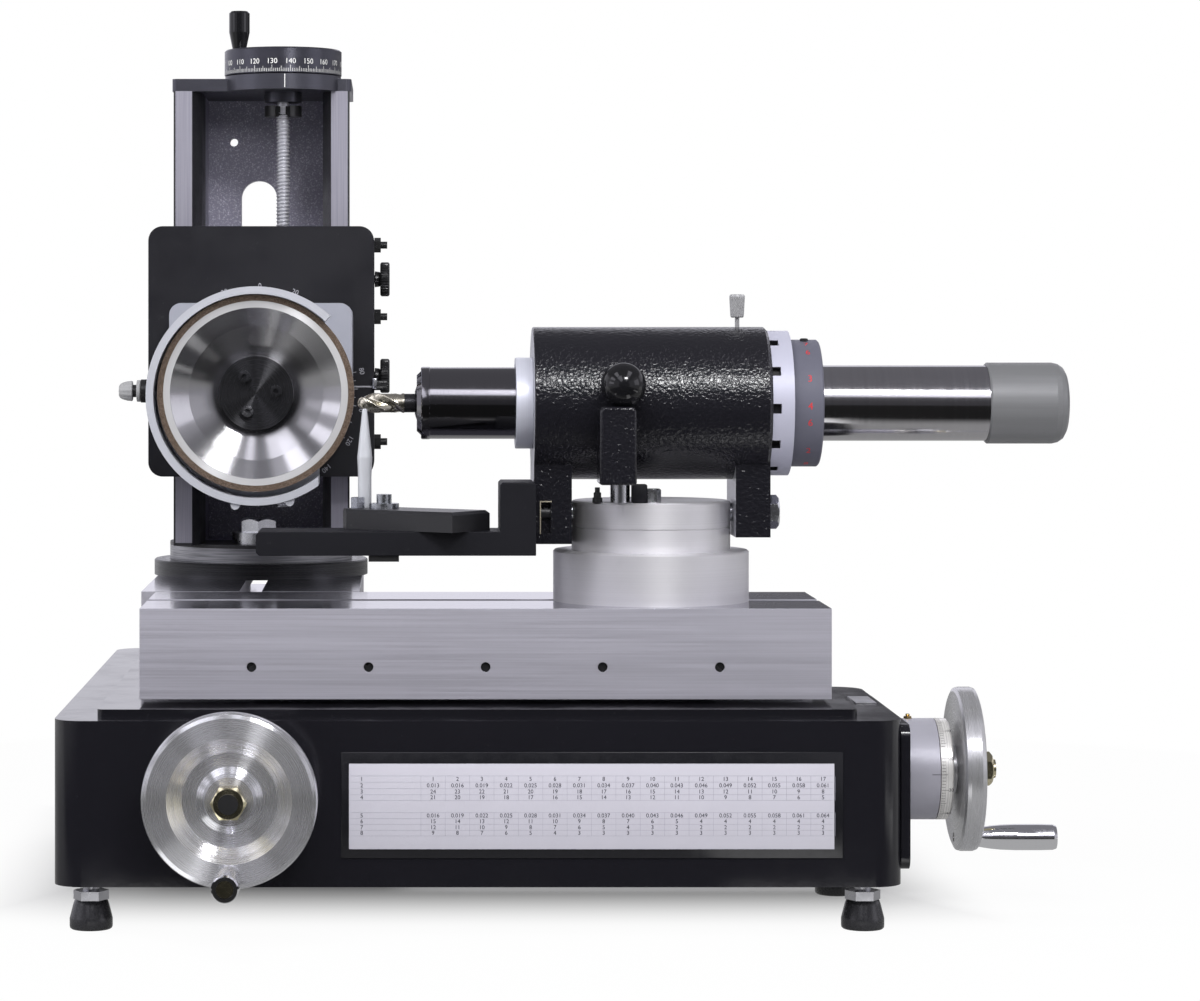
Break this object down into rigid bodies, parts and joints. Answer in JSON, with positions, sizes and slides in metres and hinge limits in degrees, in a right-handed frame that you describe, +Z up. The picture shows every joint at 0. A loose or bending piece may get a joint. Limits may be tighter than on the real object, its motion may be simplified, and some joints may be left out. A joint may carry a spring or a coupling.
{
  "type": "tool and cutter grinder",
  "caption": "Bench tool and cutter grinder with an L-shaped cast base, crossed dovetail slides, a swivelling column, a cup wheel head and a tilting indexing work head with tooth rest",
  "frame": {"origin": "centre of the bounding box in X and Y, at the floor under the rubber feet in Z", "axes": "+X to the right along the table, +Y away from the operator, +Z up"},
  "size_m": [0.6374, 0.604, 0.5925],
  "materials": {
    "gloss_enamel": "gloss black enamel",
    "cover_paint": "satin black",
    "foot_rubber": "matte",
    "zinc_steel": "bright zinc",
    "ground_steel": "ground, long fine scratches",
    "grey_aluminium": "fine turned, anodised grey",
    "dark_steel": "blackened",
    "bronze": "machined",
    "satin_black": "satin black",
    "turned_steel": "turned",
    "polished_aluminium": "polished",
    "yellow_zinc": "yellow zinc",
    "chrome_plate": "bright",
    "rough_black": "rough black paint over casting",
    "dial_aluminium": "satin grey with white graduations",
    "black_plastic": "gloss black",
    "cast_aluminium": "machined casting",
    "guard_aluminium": "rolled and brushed",
    "grey_plastic": "matte grey",
    "wheel_aluminium": "turned dish",
    "abrasive": "fine brown grit",
    "hammered_black": "gloss hammered enamel",
    "polished_steel": "ground and polished",
    "satin_aluminium": "satin grey",
    "light_aluminium": "light satin grey",
    "coated_carbide": "golden coating"
  },
  "bodies": {
    "base": {"base_casting": "gloss_enamel", "base_cover": "cover_paint", "base_end_plate": "gloss_enamel", "foot_pads": "foot_rubber", "foot_studs": "zinc_steel", "x_way": "ground_steel", "y_way": "ground_steel", "screw_bearings": "grey_aluminium"},
    "x_feed": {"x_lead_screw": "turned_steel", "x_dial": "grey_aluminium", "x_handwheel": "polished_aluminium", "x_crank_fixings": "yellow_zinc"},
    "x_crank": {"x_handle": "chrome_plate"},
    "table": {"x_table": "ground_steel", "x_gib": "dark_steel", "x_nut": "bronze", "pedestal_base": "turned_steel", "pedestal_bolt": "dark_steel"},
    "y_feed": {"y_lead_screw": "turned_steel", "y_dial": "grey_aluminium", "y_handwheel": "polished_aluminium", "y_crank_fixings": "yellow_zinc"},
    "y_crank": {"y_handle": "chrome_plate"},
    "cross_slide": {"y_slide": "ground_steel", "y_gib": "dark_steel", "y_nut": "bronze", "swivel_base": "dark_steel"},
    "column": {"column_casting": "rough_black", "column_top_plate": "satin_black", "column_bolt": "zinc_steel"},
    "z_feed": {"z_lead_screw": "turned_steel", "z_handwheel": "dial_aluminium"},
    "z_crank": {"z_handle": "black_plastic"},
    "head": {"head_plate": "satin_black", "z_gib": "zinc_steel"},
    "knob_upper": {"lock_knob_upper": "dark_steel"},
    "knob_lower": {"lock_knob_lower": "dark_steel"},
    "wheel_head": {"tilt_disc": "satin_black", "motor": "cast_aluminium", "wheel_guard": "guard_aluminium", "cable_gland": "grey_plastic"},
    "wheel": {"wheel_arbor": "turned_steel", "wheel_core": "wheel_aluminium", "abrasive_rim": "abrasive", "hub_flange": "dark_steel"},
    "work_swivel": {"swivel_disc": "turned_steel", "swivel_fixings": "zinc_steel"},
    "work_head": {"workhead_housing": "hammered_black", "front_bush": "light_aluminium", "ball_lever": "black_plastic", "workhead_screws": "dark_steel", "tooth_rest_arm": "satin_black"},
    "indexer": {"index_ring": "light_aluminium", "number_ring": "light_aluminium"},
    "pin": {"index_pin": "zinc_steel"},
    "spindle_unit": {"spindle": "polished_steel", "end_knob": "satin_aluminium", "end_mill": "coated_carbide"},
    "rest": {"rest_bar": "satin_black"},
    "finger": {"rest_finger": "ground_steel"}
  },
  "joints": [
    {"name": "x_feed_turn", "type": "hinge", "parent": "base", "child": "x_feed", "pos_m": [0.2097, -0.074, 0.0872], "axis": [1, 0, 0], "range_deg": [-3610, 2602]},
    {"name": "table_slide", "type": "slide", "parent": "base", "child": "table", "axis": [-1, 0, 0], "range_m": [-0.05, 0.036]},
    {"name": "x_crank_turn", "type": "hinge", "parent": "x_feed", "child": "x_crank", "pos_m": [0.2807, -0.074, 0.0432], "axis": [1, 0, 0], "continuous": true},
    {"name": "y_feed_turn", "type": "hinge", "parent": "base", "child": "y_feed", "pos_m": [-0.2093, -0.202, 0.089], "axis": [0, -1, 0], "range_deg": [-154, 4330]},
    {"name": "cross_slide_move", "type": "slide", "parent": "base", "child": "cross_slide", "axis": [0, 1, 0], "range_m": [-0.002, 0.06]},
    {"name": "y_crank_turn", "type": "hinge", "parent": "y_feed", "child": "y_crank", "pos_m": [-0.2093, -0.264, 0.045], "axis": [0, -1, 0], "continuous": true},
    {"name": "column_swivel", "type": "hinge", "parent": "cross_slide", "child": "column", "pos_m": [-0.2073, 0.186, 0.207], "axis": [0, 0, 1], "range_deg": [-60, 0]},
    {"name": "z_feed_turn", "type": "hinge", "parent": "column", "child": "z_feed", "pos_m": [-0.1901, 0.141, 0.546], "axis": [0, 0, -1], "range_deg": [-3553, 8514]},
    {"name": "z_crank_turn", "type": "hinge", "parent": "z_feed", "child": "z_crank", "pos_m": [-0.2204, 0.1307, 0.57], "axis": [0, 0, 1], "continuous": true},
    {"name": "head_slide", "type": "slide", "parent": "column", "child": "head", "axis": [0, 0, 1], "range_m": [-0.025, 0.06]},
    {"name": "knob_upper_turn", "type": "hinge", "parent": "head", "child": "knob_upper", "pos_m": [-0.1193, 0.137, 0.405], "axis": [1, 0, 0], "range_deg": [-90, 90]},
    {"name": "knob_lower_turn", "type": "hinge", "parent": "head", "child": "knob_lower", "pos_m": [-0.1193, 0.137, 0.3372], "axis": [1, 0, 0], "range_deg": [-90, 90]},
    {"name": "wheel_head_tilt", "type": "hinge", "parent": "head", "child": "wheel_head", "pos_m": [-0.2011, 0.096, 0.326], "axis": [0, 1, 0], "range_deg": [-30, 30]},
    {"name": "wheel_spin", "type": "hinge", "parent": "wheel_head", "child": "wheel", "pos_m": [-0.2011, -0.05, 0.328], "axis": [0, 1, 0], "continuous": true},
    {"name": "work_head_swivel", "type": "hinge", "parent": "table", "child": "work_swivel", "pos_m": [0.0529, -0.074, 0.228], "axis": [0, 0, 1], "range_deg": [0, 90]},
    {"name": "work_head_rock", "type": "hinge", "parent": "work_swivel", "child": "work_head", "pos_m": [-0.0233, -0.074, 0.252], "axis": [1, 0, 0], "range_deg": [-8, 0]},
    {"name": "index_turn", "type": "hinge", "parent": "work_head", "child": "indexer", "pos_m": [0.1337, -0.074, 0.3218], "axis": [1, 0, 0], "continuous": true},
    {"name": "spindle_slide", "type": "slide", "parent": "indexer", "child": "spindle_unit", "axis": [1, 0, 0], "range_m": [-0.02, 0.02]},
    {"name": "index_pin_slide", "type": "slide", "parent": "work_head", "child": "pin", "axis": [0, 0, 1], "range_m": [-0.0045, 0]},
    {"name": "rest_bar_swivel", "type": "hinge", "parent": "work_head", "child": "rest", "pos_m": [-0.1182, -0.099, 0.243], "axis": [0, 0, 1], "range_deg": [0, 12]},
    {"name": "finger_slide", "type": "slide", "parent": "rest", "child": "finger", "axis": [0, 0, 1], "range_m": [-0.01, 0]}
  ],
  "couplings": [
    {"joint": "x_feed_turn", "follows": "table_slide", "rad_per_m": 1256.6},
    {"joint": "y_feed_turn", "follows": "cross_slide_move", "rad_per_m": 1256.6},
    {"joint": "z_feed_turn", "follows": "head_slide", "rad_per_m": 2473.7}
  ]
}
